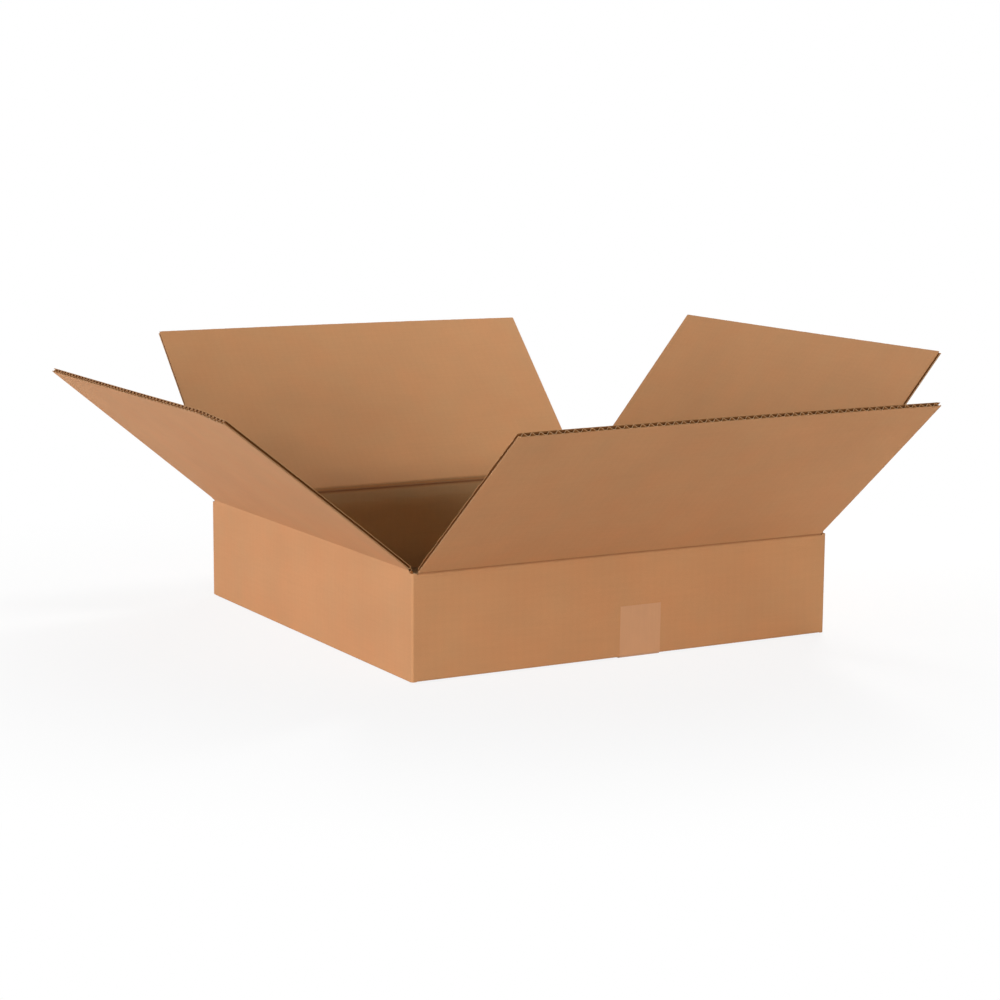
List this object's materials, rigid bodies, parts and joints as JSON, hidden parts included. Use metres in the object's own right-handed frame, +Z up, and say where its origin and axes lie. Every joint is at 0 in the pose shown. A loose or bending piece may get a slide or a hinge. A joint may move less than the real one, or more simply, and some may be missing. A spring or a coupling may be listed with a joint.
{
  "type": "open shallow corrugated cardboard box",
  "caption": "Shallow square corrugated carton standing open, with flared hinged top flaps, folded bottom flaps and a strip of tape along the bottom seam.",
  "frame": {"origin": "on the surface the carton stands on, under the middle of its base", "axes": "+Z up, -Y out of the wall that carries the near end of the tape, +X to that wall's right"},
  "size_m": [0.8722, 0.8975, 0.3166],
  "materials": {
    "kraft_board": "matte",
    "kraft_liner_and_medium": "matte",
    "tape_film": "satin"
  },
  "bodies": {
    "box": {"box_body": "kraft_board", "bottom_tape": "tape_film"},
    "front_flap": {"front_flap": "kraft_liner_and_medium"},
    "back_flap": {"back_flap": "kraft_liner_and_medium"},
    "left_flap": {"left_flap": "kraft_liner_and_medium"},
    "right_flap": {"right_flap": "kraft_liner_and_medium"}
  },
  "joints": [
    {"name": "front_flap_fold", "type": "hinge", "parent": "box", "child": "front_flap", "pos_m": [0, -0.2582, 0.1138], "axis": [1, 0, 0], "range_deg": [-140.9, 49.1]},
    {"name": "back_flap_fold", "type": "hinge", "parent": "box", "child": "back_flap", "pos_m": [0, 0.2582, 0.1138], "axis": [-1, 0, 0], "range_deg": [-134.4, 55.6]},
    {"name": "left_flap_fold", "type": "hinge", "parent": "box", "child": "left_flap", "pos_m": [-0.2564, 0, 0.1171], "axis": [0, -1, 0], "range_deg": [-140.5, 49.5]},
    {"name": "right_flap_fold", "type": "hinge", "parent": "box", "child": "right_flap", "pos_m": [0.2564, 0, 0.1171], "axis": [0, 1, 0], "range_deg": [-128.9, 61.1]}
  ]
}
